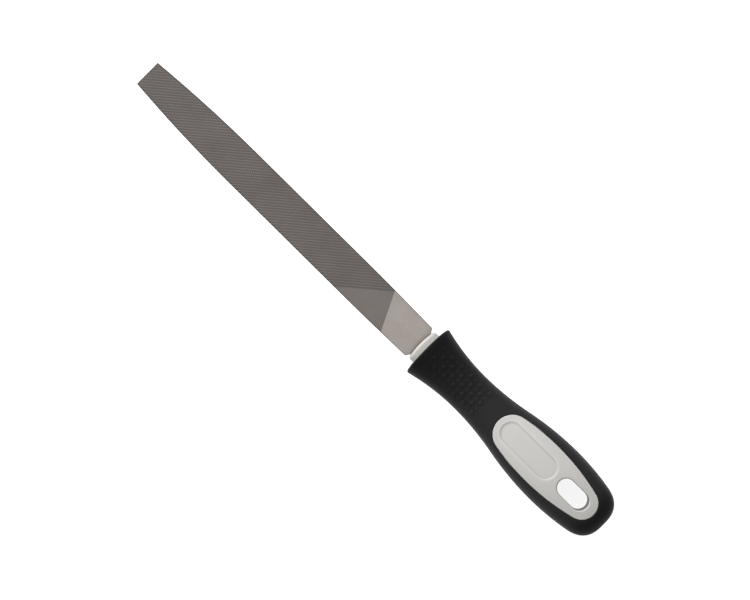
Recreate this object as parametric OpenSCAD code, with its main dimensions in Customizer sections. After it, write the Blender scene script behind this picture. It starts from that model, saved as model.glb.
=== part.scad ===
// Flat file for metalwork: a double-cut steel blade whose tang sits in a moulded handle.
// The handle is a hard core, which shows as a collar and a label panel, inside a soft sleeve.
// Millimetres. +X points to the blade's tip, +Z up; the origin is under the middle of the tool.

/* [Blade] */
// Length of the blade from its tip to the end of its heel, without the tang
blade_length = 150; // [100:1:200]
// Width of the blade where its sides run parallel
blade_width = 16; // [14:0.5:24]
// Thickness of the blade at its heel
blade_thickness = 4; // [3:0.1:6]
// How far each side draws in towards the tip
tip_draw_in = 2.2; // [0.5:0.05:3]
// Length over which the sides draw in to the tip
tip_taper_length = 53; // [25:1:60]
// How far each face falls from the heel to the tip
tip_thinning = 0.4; // [0.1:0.05:0.8]
// How far each side draws in towards the heel
heel_draw_in = 0.5; // [0.2:0.05:1]
// Length over which the sides draw in to the heel
heel_taper_length = 38; // [20:1:45]
// Length of the heel whose two faces are parallel
heel_flat_length = 12; // [8:0.5:13]
// Chamfer of the heel corners, along the blade
heel_chamfer_length = 1.1; // [0.5:0.1:3]
// Chamfer of the heel corners, across the blade
heel_chamfer_width = 2; // [0.5:0.1:3]

/* [Cut of the faces] */
// Angle between the rows of teeth and the blade's axis
row_angle = 64.5; // [50:0.5:80]
// Distance from row to row, square to them
row_pitch = 1.2; // [0.8:0.05:2]
// Depth of the rows
row_depth = 0.3; // [0.15:0.05:0.5]
// Width of the crest that is left between two rows
row_crest = 0.12; // [0.05:0.01:0.3]
// Bare length of the heel, measured on the blade's axis
bare_heel_length = 17.8; // [16:0.1:30]

/* [Tang] */
// Length of the tang behind the heel
tang_length = 45; // [30:1:55]
// Width of the tang where it leaves the heel
tang_root_width = 8; // [6:0.5:9]
// Width of the tang at its end
tang_end_width = 3.6; // [2:0.2:5]
// Thickness of the tang at its end
tang_end_thickness = 2.4; // [1.5:0.1:3]

/* [Grip] */
// Length of the grip sleeve
grip_length = 97.7; // [90:0.1:125]
// Width of the grip at its front
front_width = 24.1; // [20:0.1:28]
// Thickness of the grip at its front
front_thickness = 19; // [17:0.2:24]
// Width of the grip at its waist
waist_width = 17.4; // [15:0.1:20]
// Thickness of the grip at its waist
waist_thickness = 15; // [13.5:0.1:17]
// Distance of the waist behind the grip's front
waist_place = 24; // [18:0.2:32]
// Width of the grip at its swell
swell_width = 26.5; // [24:0.1:34]
// Thickness of the grip at its swell
swell_thickness = 21; // [18:0.2:26]
// Distance of the swell from the butt end
swell_from_butt = 27.5; // [22:0.1:36]
// How far each side falls from the swell to where the butt starts to round
butt_draw_in = 1.55; // [0.5:0.05:3]
// Length over which the butt end rounds off
butt_round_length = 9.5; // [6:0.1:14]
// Radius of the rim round the grip's front face
front_rim_radius = 0.8; // [0.5:0.1:2.5]
// How far the grip's front face falls back from the collar to its rim
front_crown = 0.9; // [0.3:0.1:1.5]
// Width of the flat round the collar on the grip's front face
front_land = 0.3; // [0.1:0.1:1]
// Wall of the sleeve over the core
grip_wall = 2.2; // [1.5:0.1:3]

/* [Collar of the core] */
// Length of the collar in front of the grip
collar_length = 3; // [1.5:0.1:6]
// Width of the collar
collar_width = 14.4; // [11.5:0.1:16]
// Thickness of the collar
collar_thickness = 11; // [9:0.1:13]
// Radius of the collar's front rim
collar_rim_radius = 1.2; // [0.2:0.1:1.4]

/* [Label panel] */
// Width of the panel at its widest place
panel_width = 18.5; // [15:0.1:20]
// Radius of the panel's long sides
panel_side_radius = 96; // [70:1:160]
// Distance from the widest place to the centre of the front end's arc
panel_front_reach = 16; // [10:0.2:18]
// Distance from the widest place to the centre of the rear end's arc
panel_rear_reach = 22; // [18:0.2:26]
// Distance from the panel's rear end to the butt end
panel_from_butt = 5.8; // [4:0.1:10]
// How far the panel lies below the sleeve
panel_recess = 0.3; // [0.1:0.05:0.8]
// Length of the sunk label field
label_length = 27.6; // [15:0.2:29]
// Width of the sunk label field
label_width = 9.2; // [5:0.1:12]
// Depth of the sunk label field
label_depth = 0.3; // [0.15:0.05:0.8]
// Distance from the panel's front end to the label field
label_setback = 2.8; // [2:0.1:5]

/* [Hang slot] */
// Length of the slot from end to end
slot_length = 14.6; // [10:0.1:16]
// Width of the slot
slot_width = 7.4; // [5:0.1:9]
// Distance from the slot to the panel's rear end
slot_setback = 4.1; // [2.5:0.1:6]

/* [Fits] */
// Clearance of the tang in its socket, on each face
tang_clearance = 0.05; // [0.02:0.01:0.15]
// Depth of the socket past the end of the tang
socket_spare = 2; // [0.5:0.5:5]
// Gap between the core and the sleeve moulded over it
bond_gap = 0.04; // [0.02:0.01:0.1]

/* [Hidden] */
$fn = 96;
// Smoothness of arcs whose radius is many times the length that is used of them
large_arc_fn = 1440;

// Facets of the handle's surfaces
sides = 40;
front_steps = 4;
flare_steps = 7;
swell_steps = 10;
butt_steps = 8;
// Roundness of the handle's sections and of its butt: 2 is an ellipse, more is squarer
waist_squareness = 2.3;
swell_squareness = 2.8;
butt_squareness = 2.8;
collar_squareness = 3.2;
// Share of the way from waist to swell where the side turns from hollow to full
turn_share = 0.48;
// Last angle of the butt's rounding, which leaves a small flat
butt_last_angle = 80;
// How far a cutting shape reaches past the surface that it cuts
past = 1;

// Distance behind the grip's front face at which its rim ends
rim_place = front_crown + front_rim_radius;

// Places along X, and the height of the tool's axis above the lowest point of the grip
tool_length = blade_length + collar_length + grip_length;
tip_x = tool_length / 2;
heel_x = tip_x - blade_length;
grip_x = heel_x - collar_length;
axis_z = max(half_thickness(rim_place), swell_thickness / 2 - panel_recess);

// Distances behind the grip's front face
swell_place = grip_length - swell_from_butt;
butt_place = grip_length - butt_round_length;
panel_end = grip_length - panel_from_butt;
panel_rear_centre = panel_end - panel_arc(panel_rear_reach);
panel_middle = panel_rear_centre - panel_rear_reach;
panel_front_centre = panel_middle - panel_front_reach;
panel_start = panel_front_centre - panel_arc(panel_front_reach);
slot_middle = panel_end - slot_setback - slot_length / 2;
label_middle = panel_start + label_setback + label_length / 2;

// Radius of the arc that closes the panel's outline, tangent to both of its long sides
function panel_arc(reach) =
    panel_side_radius - norm([reach, panel_side_radius - panel_width / 2]);

// Signed power, which makes a section's roundness
function shaped(v, power) = sign(v) * pow(abs(v), power);

// Rise from 0 to 1 in two tangent arcs
function two_arcs(u) =
    u < turn_share ? u * u / turn_share : 1 - pow(1 - u, 2) / (1 - turn_share);

// A size that flares at the front, narrows at the waist, swells, and falls towards the butt
function along(d, front, waist, swell) =
    d < waist_place
        ? waist + (front - waist) * pow(1 - d / waist_place, 2)
    : d < swell_place
        ? waist + (swell - waist) * two_arcs((d - waist_place) / (swell_place - waist_place))
    : swell - butt_draw_in * pow((d - swell_place) / (butt_place - swell_place), 2);

function half_width(d) = along(d, front_width / 2, waist_width / 2, swell_width / 2);
function half_thickness(d) =
    along(d, front_thickness / 2, waist_thickness / 2, swell_thickness / 2);
function squareness(d) =
    waist_squareness + (swell_squareness - waist_squareness)
        * two_arcs(min(1, max(0, (d - waist_place) / (swell_place - waist_place))));

// One ring of points across the handle at a distance behind the grip's front
function ring(d, half_w, half_t, power) =
    [for (i = [0 : sides - 1])
        let (a = 360 * i / sides)
            [grip_x - d,
             half_w * shaped(cos(a), 2 / power),
             axis_z + half_t * shaped(sin(a), 2 / power)]];

function handle_ring(d, inset) =
    ring(d, half_width(d) - inset, half_thickness(d) - inset, squareness(d));

// The rim round a front face: the section grows over the first bit of its length by a quarter arc
function rim_ring(d, radius, half_w, half_t, power, step) =
    let (a = 90 * step / front_steps, shrink = radius * (1 - sin(a)))
        ring(d + radius * (1 - cos(a)), half_w - shrink, half_t - shrink, power);

// Rings from the start of the butt's rounding to the butt, set in by a wall
function butt_ring(step, inset) =
    let (a = butt_last_angle * step / butt_steps,
         reach = butt_round_length - inset,
         d = butt_place + reach * shaped(sin(a), 2 / butt_squareness)
             / shaped(sin(butt_last_angle), 2 / butt_squareness),
         keep = shaped(cos(a), 2 / butt_squareness))
        ring(d, keep * (half_width(d) - inset), keep * (half_thickness(d) - inset), squareness(d));

// Rings of the handle's surface, set in by a wall, from a start behind the front to the butt
function body_rings(start, inset) = concat(
    [for (i = [0 : flare_steps - 1])
        handle_ring(start + (waist_place - start) * i / flare_steps, inset)],
    [for (i = [0 : swell_steps - 1])
        handle_ring(waist_place + (swell_place - waist_place) * i / swell_steps, inset)],
    [for (i = [0 : front_steps - 1])
        handle_ring(swell_place + (butt_place - swell_place) * i / front_steps, inset)],
    [for (i = [0 : butt_steps]) butt_ring(i, inset)]);

// Closed skin through a list of rings
module skin(rings) {
    last = len(rings) - 1;
    polyhedron(
        points = [for (r = rings) each r],
        faces = concat(
            [[for (i = [sides - 1 : -1 : 0]) i]],
            [for (k = [0 : last - 1], i = [0 : sides - 1])
                let (j = (i + 1) % sides, a = k * sides, b = a + sides)
                    each [[a + i, b + j, b + i], [a + i, a + j, b + j]]],
            [[for (i = [0 : sides - 1]) last * sides + i]]));
}

// The handle's outer surface, from its front face to the butt
module handle_surface() {
    land = bond_gap + front_land;
    skin(concat(
        [ring(0, collar_width / 2 + land, collar_thickness / 2 + land, collar_squareness)],
        [for (i = [0 : front_steps - 1])
            rim_ring(front_crown, front_rim_radius, half_width(rim_place),
                half_thickness(rim_place), squareness(rim_place), i)],
        body_rings(rim_place, 0)));
}

// The same surface set in: the panel's face
module panel_surface() {
    skin(body_rings(rim_place, panel_recess));
}

// Collar and hidden body of the core, grown by a gap
module core_surface(grow) {
    half_w = collar_width / 2 + grow;
    half_t = collar_thickness / 2 + grow;
    skin(concat(
        [for (i = [0 : front_steps])
            rim_ring(-collar_length, collar_rim_radius, half_w, half_t, collar_squareness, i)],
        [ring(grip_wall - grow, half_w, half_t, collar_squareness)],
        body_rings(grip_wall - grow, grip_wall - grow)));
}

// A flat shape in plan, cut right through the handle
module through_handle() {
    translate([grip_x, 0, axis_z])
        mirror([1, 0, 0])
            linear_extrude(height = 2 * swell_thickness, center = true)
                children();
}

// Egg outline of the panel: two long arcs closed by an arc at each end
module panel_outline(grow) {
    side_radius = panel_side_radius + grow;
    centre_y = panel_side_radius - panel_width / 2;
    front_tangent = side_radius * panel_front_reach / norm([panel_front_reach, centre_y]);
    rear_tangent = side_radius * panel_rear_reach / norm([panel_rear_reach, centre_y]);
    translate([panel_front_centre, 0])
        circle(panel_arc(panel_front_reach) + grow);
    translate([panel_rear_centre, 0])
        circle(panel_arc(panel_rear_reach) + grow);
    translate([panel_middle, 0])
        intersection() {
            translate([0, -centre_y])
                circle(side_radius, $fn = large_arc_fn);
            translate([0, centre_y])
                circle(side_radius, $fn = large_arc_fn);
            translate([-front_tangent, -panel_width])
                square([front_tangent + rear_tangent, 2 * panel_width]);
        }
}

// Straight sides with a half circle at each end
module obround(length, width) {
    reach = (length - width) / 2;
    square([2 * reach, width], center = true);
    for (end = [-1, 1])
        translate([end * reach, 0])
            circle(d = width);
}

module hang_slot() {
    through_handle()
        translate([slot_middle, 0])
            obround(slot_length, slot_width);
}

// The label field is sunk below the panel's face, so it follows the face at a set depth
module label_field() {
    difference() {
        through_handle()
            translate([label_middle, 0])
                obround(label_length, label_width);
        skin(body_rings(rim_place, panel_recess + label_depth));
    }
}

// Half of a tapering size of the socket: its mouth in front of the collar and its floor
function socket_taper(root, end) =
    let (rate = (root - end) / (2 * tang_length))
        [root / 2 + tang_clearance + past * rate,
         end / 2 + tang_clearance - socket_spare * rate];

// Room for the tang, open at the collar's front face, with the tang's own taper
module tang_socket() {
    width = socket_taper(tang_root_width, tang_end_width);
    thickness = socket_taper(blade_thickness, tang_end_thickness);
    mouth = heel_x + past;
    floor = heel_x - tang_length - socket_spare;
    intersection() {
        translate([0, 0, axis_z - blade_thickness])
            linear_extrude(height = 2 * blade_thickness)
                socket_outline(mouth, floor, width);
        translate([0, blade_width, axis_z])
            rotate([90, 0, 0])
                linear_extrude(height = 2 * blade_width)
                    socket_outline(mouth, floor, thickness);
    }
}

module socket_outline(mouth, floor, half) {
    polygon([[mouth, half[0]], [floor, half[1]], [floor, -half[1]], [mouth, -half[0]]]);
}

// Outline of the blade in plan: parallel sides that draw in along large arcs at tip and heel
module blade_plan() {
    tip_radius = (pow(tip_taper_length, 2) + pow(tip_draw_in, 2)) / (2 * tip_draw_in);
    heel_radius = (pow(heel_taper_length, 2) + pow(heel_draw_in, 2)) / (2 * heel_draw_in);
    tip_start = tip_x - tip_taper_length;
    heel_start = heel_x + heel_taper_length;
    half = blade_width / 2;
    heel_half = half - heel_draw_in;
    intersection() {
        polygon([
            [heel_x, heel_half - heel_chamfer_width],
            [heel_x, heel_chamfer_width - heel_half],
            [heel_x + heel_chamfer_length, -heel_half],
            [heel_x + heel_chamfer_length, -half],
            [tip_x, -half],
            [tip_x, half],
            [heel_x + heel_chamfer_length, half],
            [heel_x + heel_chamfer_length, heel_half]]);
        drawn_in_side(tip_start, tip_radius, heel_start, heel_radius);
        mirror([0, 1, 0])
            drawn_in_side(tip_start, tip_radius, heel_start, heel_radius);
    }
}

// Everything below one long side of the blade
module drawn_in_side(tip_start, tip_radius, heel_start, heel_radius) {
    half = blade_width / 2;
    translate([heel_start, -blade_width])
        square([tip_start - heel_start, blade_width + half]);
    intersection() {
        translate([tip_start, half - tip_radius])
            circle(tip_radius, $fn = large_arc_fn);
        translate([tip_start, -blade_width])
            square([tip_taper_length + past, 2 * blade_width]);
    }
    intersection() {
        translate([heel_start, half - heel_radius])
            circle(heel_radius, $fn = large_arc_fn);
        translate([heel_x - past, -blade_width])
            square([heel_taper_length + past, 2 * blade_width]);
    }
}

// Outline of the tang in plan, rooted in the heel
module tang_plan() {
    root_half = tang_root_width / 2;
    end_half = tang_end_width / 2;
    polygon([[heel_x + past, root_half], [heel_x, root_half], [heel_x - tang_length, end_half],
        [heel_x - tang_length, -end_half], [heel_x, -root_half], [heel_x + past, -root_half]]);
}

// Blade and tang before the faces are cut: parallel at the heel, thinning evenly to both ends
module blade_blank() {
    tip_half = blade_thickness / 2 - tip_thinning;
    heel_half = blade_thickness / 2;
    tang_half = tang_end_thickness / 2;
    flat_end = heel_x + heel_flat_length;
    tang_x = heel_x - tang_length;
    intersection() {
        translate([0, 0, axis_z - blade_thickness])
            linear_extrude(height = 2 * blade_thickness) {
                blade_plan();
                tang_plan();
            }
        translate([0, blade_width, axis_z])
            rotate([90, 0, 0])
                linear_extrude(height = 2 * blade_width)
                    polygon([[tang_x, tang_half], [heel_x, heel_half], [flat_end, heel_half],
                        [tip_x, tip_half], [tip_x, -tip_half], [flat_end, -heel_half],
                        [heel_x, -heel_half], [tang_x, -tang_half]]);
    }
}

// Comb that cuts the rows of teeth into the upper face, laid on the slope of that face
module tooth_comb() {
    slope = atan(tip_thinning / (blade_length - heel_flat_length));
    reach = blade_length / sin(row_angle) + blade_width;
    rows = ceil((blade_length - bare_heel_length + blade_width) * sin(row_angle) / row_pitch);
    notch = row_pitch - row_crest;
    // Where across a notch its floor lies, and how far its flanks run on above the face
    steep = notch / 4;
    run_on = row_crest * row_depth / (2 * notch);
    open_front = steep * run_on / row_depth;
    open_rear = (notch - steep) * run_on / row_depth;
    back = row_depth;
    translate([heel_x + heel_flat_length, 0, axis_z + blade_thickness / 2])
        rotate([0, slope, 0])
            translate([bare_heel_length - heel_flat_length, 0, 0])
                rotate([0, 0, 90 - row_angle])
                    rotate([90, 0, 0])
                        linear_extrude(height = reach, center = true)
                            polygon(concat(
                                [for (i = [0 : rows - 1])
                                    let (x = i * row_pitch)
                                        each [[x - open_front, back],
                                            [x - open_front, run_on],
                                            [x + steep, -row_depth],
                                            [x + notch + open_rear, run_on],
                                            [x + notch + open_rear, back]]],
                                [[rows * row_pitch, 2 * back], [-row_pitch, 2 * back],
                                    [-row_pitch, back]]));
}

// Forged blade with its tang
module file_blade() {
    color("#6d6865")
        difference() {
            blade_blank();
            tooth_comb();
            translate([0, 0, axis_z])
                rotate([180, 0, 0])
                    translate([0, 0, -axis_z])
                        tooth_comb();
        }
}

// Hard core: collar, hidden body, panel on both sides, tang socket and hang slot
module handle_core() {
    color("#c6c4c1")
        difference() {
            union() {
                core_surface(0);
                intersection() {
                    through_handle()
                        panel_outline(0);
                    panel_surface();
                }
            }
            tang_socket();
            hang_slot();
            label_field();
        }
}

// Soft sleeve: the handle's outer surface, with windows for the panel and room for the core
module grip_sleeve() {
    color("#2b2b2b")
        difference() {
            handle_surface();
            core_surface(bond_gap);
            through_handle()
                panel_outline(bond_gap);
        }
}

file_blade();
handle_core();
grip_sleeve();
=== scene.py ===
# %% [markdown]
# # A flat file with a two-plastic handle
# A flat file is a bar of hard steel whose faces are covered with rows of small teeth. This one sits in a
# moulded handle: a hard grey core, which shows as a collar and an egg-shaped panel, inside a soft black
# grip. The CAD model gives the sizes and the places, and this lesson gives each piece its skin.
# The imported model is loaded first, and its parts are kept by name, so that their boxes can be read.

# %% Load the frame
import math

import bmesh
import bpy
import numpy as np
from mathutils import Matrix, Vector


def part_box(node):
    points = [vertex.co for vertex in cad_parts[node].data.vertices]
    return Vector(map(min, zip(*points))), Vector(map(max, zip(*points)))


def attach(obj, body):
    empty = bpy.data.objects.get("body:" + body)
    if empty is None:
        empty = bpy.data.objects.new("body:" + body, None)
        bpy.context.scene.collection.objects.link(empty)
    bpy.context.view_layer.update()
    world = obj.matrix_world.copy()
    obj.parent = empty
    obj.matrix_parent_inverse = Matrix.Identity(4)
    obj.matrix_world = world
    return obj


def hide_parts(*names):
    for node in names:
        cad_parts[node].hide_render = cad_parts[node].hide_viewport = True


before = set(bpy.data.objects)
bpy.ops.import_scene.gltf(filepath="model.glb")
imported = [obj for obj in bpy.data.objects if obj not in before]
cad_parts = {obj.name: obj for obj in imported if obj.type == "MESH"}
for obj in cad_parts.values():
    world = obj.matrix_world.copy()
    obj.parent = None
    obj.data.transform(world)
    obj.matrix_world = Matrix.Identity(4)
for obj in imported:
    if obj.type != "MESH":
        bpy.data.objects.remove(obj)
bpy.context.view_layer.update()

# %% [markdown]
# Blender works in metres, but a toolmaker thinks in millimetres. Everything below is worked out in
# millimetres and turned into metres at the last moment, when a mesh is made. The places along the tool
# come from the boxes of the CAD nodes, so the skins sit where the solids are without any fitting.

# %% Places along the tool
MM = 0.001


def node_box(node):
    """Lowest and highest corner of a CAD node, in millimetres."""
    low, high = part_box(node)
    return np.array(low) / MM, np.array(high) / MM


blade_low, blade_high = node_box("file_blade")
core_high = node_box("handle_core")[1]
grip_low, grip_high = node_box("grip_sleeve")
TIP_X = blade_high[0]
HEEL_X = core_high[0]
GRIP_X = grip_high[0]
BUTT_X = grip_low[0]
AXIS_Z = (blade_low[2] + blade_high[2]) / 2
GRIP_LENGTH = GRIP_X - BUTT_X
print(f"tip {TIP_X:.2f}, heel {HEEL_X:.2f}, grip {GRIP_X:.2f} to {BUTT_X:.2f}, axis at {AXIS_Z:.2f}")

# %% [markdown]
# The photograph looks straight down on the tool, which lies across the picture from the upper left to the
# lower right. A long lens from far away keeps the perspective slight: just enough to show a sliver of the
# hang slot's far wall. The camera is set by its own three axes, because then the tool's slant in the
# picture is one pair of numbers.

# %% Camera
PHOTO_WIDTH = 750
PIXEL = 0.39087
SLANT_RIGHT, SLANT_DOWN = 0.7108, 0.7034
AIM_X, AIM_Y = -0.17, 0.39
STAND_OFF = 1800.0
SENSOR = 36.0

camera_data = bpy.data.cameras.new("camera")
camera_data.sensor_width = SENSOR
camera_data.lens = SENSOR * STAND_OFF / (PHOTO_WIDTH * PIXEL)
camera_data.clip_start = 0.05
camera_data.clip_end = 50.0
camera = bpy.data.objects.new("camera", camera_data)
camera.matrix_world = Matrix((
    (-SLANT_RIGHT, SLANT_DOWN, 0, AIM_X * MM),
    (-SLANT_DOWN, -SLANT_RIGHT, 0, AIM_Y * MM),
    (0, 0, 1, (AXIS_Z + STAND_OFF) * MM),
    (0, 0, 0, 1),
))
bpy.context.collection.objects.link(camera)
bpy.context.scene.camera = camera
bpy.context.scene.view_settings.view_transform = "Standard"
print(f"lens {camera_data.lens:.1f} mm, {STAND_OFF:.0f} mm above the axis")

# %% [markdown]
# Materials in Blender are graphs of nodes. Written by hand they grow long, so two small classes turn them
# into expressions. A Wire is a number that changes over a surface, and + - * on it add Math nodes. Nodes
# holds one graph and adds any other node: its settings first, then the values or wires of its sockets.

# %% Wires


class Wire:
    """A value that runs from one node to the next: it wraps a socket, and operators add Math nodes."""

    def __init__(self, graph, socket):
        self.graph = graph
        self.socket = socket

    def math(self, operation, *values):
        return self.graph.node("ShaderNodeMath", {"operation": operation}, values)

    def __add__(self, other):
        return self.math("ADD", self, other)

    def __radd__(self, other):
        return self.math("ADD", other, self)

    def __sub__(self, other):
        return self.math("SUBTRACT", self, other)

    def __rsub__(self, other):
        return self.math("SUBTRACT", other, self)

    def __mul__(self, other):
        return self.math("MULTIPLY", self, other)

    def __rmul__(self, other):
        return self.math("MULTIPLY", other, self)


print("sums, differences and products of wires become Math nodes")

# %% Graphs


class Nodes:
    """One node graph, whose sockets take plain values or Wires."""

    def __init__(self, tree):
        self.tree = tree

    def fill(self, node, sockets):
        """Sets or links a node's sockets, given by name in a dict or by place in a list."""
        pairs = sockets.items() if isinstance(sockets, dict) else enumerate(sockets)
        for key, value in pairs:
            if isinstance(value, Wire):
                self.tree.links.new(value.socket, node.inputs[key])
            else:
                node.inputs[key].default_value = value

    def node(self, kind, settings, sockets, output=0):
        """Any node, and the wire that leaves it; the node that ends a graph has none."""
        made = self.tree.nodes.new(kind)
        for name, value in settings.items():
            setattr(made, name, value)
        self.fill(made, sockets)
        return Wire(self, made.outputs[output]) if made.outputs else None

    def mix(self, share, first, second, blend="MIX"):
        """Colour between two colours; the Mix node's colour sockets are numbers 6 and 7."""
        settings = {"data_type": "RGBA", "blend_type": blend}
        return self.node("ShaderNodeMix", settings, {0: share, 6: first, 7: second}, output=2)

    def seen(self):
        """1 for a ray that shows the background itself: to the camera, in a gloss or through glass."""
        names = ("Is Camera Ray", "Is Glossy Ray", "Is Transmission Ray")
        straight, glossy, clear = (self.node("ShaderNodeLightPath", {}, {}, name) for name in names)
        either = {"operation": "ADD", "use_clamp": True}
        return self.node("ShaderNodeMath", either, [straight + glossy, clear])


print("a graph takes a node's type, its settings and its sockets")

# %% [markdown]
# Colours are written as they are read off a screen, which is how a person picks them. Blender mixes light
# in linear values, so each written colour is turned into those first.

# %% Colours


def srgb(red, green, blue):
    """A screen colour, 0 to 255, in linear values: the sRGB curve, a short straight foot and a power."""
    share = np.array([red, green, blue]) / 255
    linear = np.where(share <= 0.04045, share / 12.92, ((share + 0.055) / 1.055) ** 2.4)
    return (*linear.tolist(), 1.0)


def grey(level):
    """A grey of a linear level; above 1 it brightens what it is multiplied with."""
    return (level, level, level, 1.0)


print("mid grey 128 is", round(srgb(128, 128, 128)[0], 3), "in linear light")

# %% [markdown]
# A catalogue picture is lit by a big soft lamp and by everything white around it. The sky stands for the
# white surroundings: dim where it only lights the tool, and plain white where it is seen itself.

# %% Sky
FILL_LIGHT = 0.36

world = bpy.data.worlds.new("studio")
bpy.context.scene.world = world
world.use_nodes = True
world.node_tree.nodes.clear()
sky = Nodes(world.node_tree)
fill = sky.node("ShaderNodeBackground", {}, {"Color": grey(1.0), "Strength": FILL_LIGHT})
white = sky.node("ShaderNodeBackground", {}, {"Color": grey(1.0), "Strength": 1.0})
shown = sky.node("ShaderNodeMixShader", {}, [sky.seen(), fill, white])
sky.node("ShaderNodeOutputWorld", {}, [shown])
print("sky lights the tool with", FILL_LIGHT, "of white")

# %% [markdown]
# The lamp is a large square beyond the tip and a little to one side. Together with the sky it brings
# about as much light to a level surface as its written colour needs. Its matrix is made of three axes, the
# last of which points from the tool to the lamp, because an area lamp shines against its own Z axis.

# %% Lamp
KEY_WATTS = 24.8
KEY_DISTANCE = 1.5
KEY_SIZE = 1.1
KEY_TOWARDS = np.array([0.99, -0.14])
KEY_ELEVATION = math.radians(36)

key_data = bpy.data.lights.new("key", "AREA")
key_data.shape = "SQUARE"
key_data.size = KEY_SIZE
key_data.energy = KEY_WATTS
key = bpy.data.objects.new("key", key_data)
level = KEY_TOWARDS / np.linalg.norm(KEY_TOWARDS) * math.cos(KEY_ELEVATION)
lamp_axis = np.array([*level, math.sin(KEY_ELEVATION)])
lamp_side = np.cross([0, 0, 1], lamp_axis)
lamp_side = lamp_side / np.linalg.norm(lamp_side)
lamp_turn = np.eye(4)
lamp_turn[:3, :3] = np.column_stack([lamp_side, np.cross(lamp_axis, lamp_side), lamp_axis])
lamp_turn[:3, 3] = lamp_axis * KEY_DISTANCE
key.matrix_world = Matrix(lamp_turn.tolist())
bpy.context.collection.objects.link(key)
print("lamp at", np.round(lamp_axis * KEY_DISTANCE, 2), "m")

# %% [markdown]
# The floor is plain and pale. Where it is seen it glows as well, so that it comes out white as in the
# picture. The light that it throws on the tool is only that of a pale floor, and the tool's shadow stays
# on it.

# %% Floor
FLOOR_SIZE = 12.0
FLOOR_GREY = 0.85
FLOOR_GLOW = 0.85

floor_mesh = bpy.data.meshes.new("floor")
corners = np.array([[-1, -1, 0], [1, -1, 0], [1, 1, 0], [-1, 1, 0]]) * FLOOR_SIZE / 2
floor_mesh.from_pydata(corners.tolist(), [], [[0, 1, 2, 3]])
floor = bpy.data.objects.new("floor", floor_mesh)
bpy.context.collection.objects.link(floor)
floor_material = bpy.data.materials.new("pale_floor")
floor_material.use_nodes = True
floor_material.node_tree.nodes.clear()
ground = Nodes(floor_material.node_tree)
pale = ground.node("ShaderNodeBsdfDiffuse", {}, {"Color": grey(FLOOR_GREY)})
glow = ground.node("ShaderNodeEmission", {}, {"Color": grey(1.0), "Strength": FLOOR_GLOW})
lifted = ground.node("ShaderNodeAddShader", {}, [pale, glow])
seen_floor = ground.node("ShaderNodeMixShader", {}, [ground.seen(), pale, lifted])
ground.node("ShaderNodeOutputMaterial", {}, [seen_floor])
floor_mesh.materials.append(floor_material)
print(f"floor {FLOOR_SIZE:.0f} m square")

# %% [markdown]
# Every piece below is a sheet of points worked out at once with numpy: a formula in two parameters on a
# grid. The helpers here turn such sheets into one Blender mesh. Sheets that meet share the points of their
# common edge, so merging points that coincide closes the seams and the poles, and Blender can then tell
# inside from outside.

# %% From sheets of points to a mesh
MERGE_GAP, SLIVER = 0.002, 0.001


def grid_faces(rows, columns, around=False):
    """Four-cornered faces between neighbours of a grid; around joins the last column to the first."""
    row = np.arange(rows - 1)[:, None]
    column = np.arange(columns if around else columns - 1)[None, :]
    after = (column + 1) % columns
    corners = [row * columns + column, row * columns + after,
               (row + 1) * columns + after, (row + 1) * columns + column]
    return np.stack(corners, axis=-1).reshape(-1, 4)


def sheets_to_mesh(name, sheets, marks):
    """One mesh from sheets, each (points in mm, faces by number), with a mark for each of their points."""
    starts = np.cumsum([0] + [len(points) for points, faces in sheets])
    all_points = np.concatenate([points for points, faces in sheets])
    all_faces = [(faces + start).tolist() for (points, faces), start in zip(sheets, starts)]
    mesh = bpy.data.meshes.new(name)
    mesh.from_pydata((all_points * MM).tolist(), [], sum(all_faces, []))
    for label, values in marks.items():
        layer = mesh.attributes.new(label, "FLOAT", "POINT")
        layer.data.foreach_set("value", values.astype(np.float32))
    shell = bmesh.new()
    shell.from_mesh(mesh)
    bmesh.ops.remove_doubles(shell, verts=shell.verts, dist=MERGE_GAP * MM)
    bmesh.ops.dissolve_degenerate(shell, edges=shell.edges, dist=SLIVER * MM)
    bmesh.ops.recalc_face_normals(shell, faces=shell.faces)
    shell.to_mesh(mesh)
    shell.free()
    return mesh


def open_edges(mesh):
    """How many edges lack a face on one of their sides: none in a closed skin."""
    edge_of_corner = np.empty(len(mesh.loops), dtype=np.int32)
    mesh.loops.foreach_get("edge_index", edge_of_corner)
    return int((np.bincount(edge_of_corner, minlength=len(mesh.edges)) != 2).sum())


print("a grid of 3 by 4 points has", len(grid_faces(3, 4)), "faces")

# %% [markdown]
# A finished piece is shaded smooth, except along edges that are sharper than a given angle. It moves with
# the body of the CAD model and hides the node that it stands for.

# %% From a mesh to a piece


def make_piece(name, sheets, node, sharp_degrees, marks):
    """A closed skin made of sheets, riding where its CAD node is."""
    mesh = sheets_to_mesh(name, sheets, marks)
    mesh.polygons.foreach_set("use_smooth", np.ones(len(mesh.polygons), dtype=bool))
    mesh.set_sharp_from_angle(angle=math.radians(sharp_degrees))
    piece = bpy.data.objects.new(name, mesh)
    bpy.context.collection.objects.link(piece)
    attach(piece, "root")
    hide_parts(node)
    print(f"{name}: {len(mesh.vertices)} points, {len(mesh.polygons)} faces, {open_edges(mesh)} open edges")
    return piece


print("nodes to dress:", sorted(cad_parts))

# %% [markdown]
# ## The blade
# Seen from above the blade has parallel sides that draw in along flat arcs, a lot towards the tip and a
# little towards the heel, and its faces slope together towards the tip. The heel's corners are chamfered.
# These are functions of the distance from the heel, the same ones that the solid was drawn with.

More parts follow.
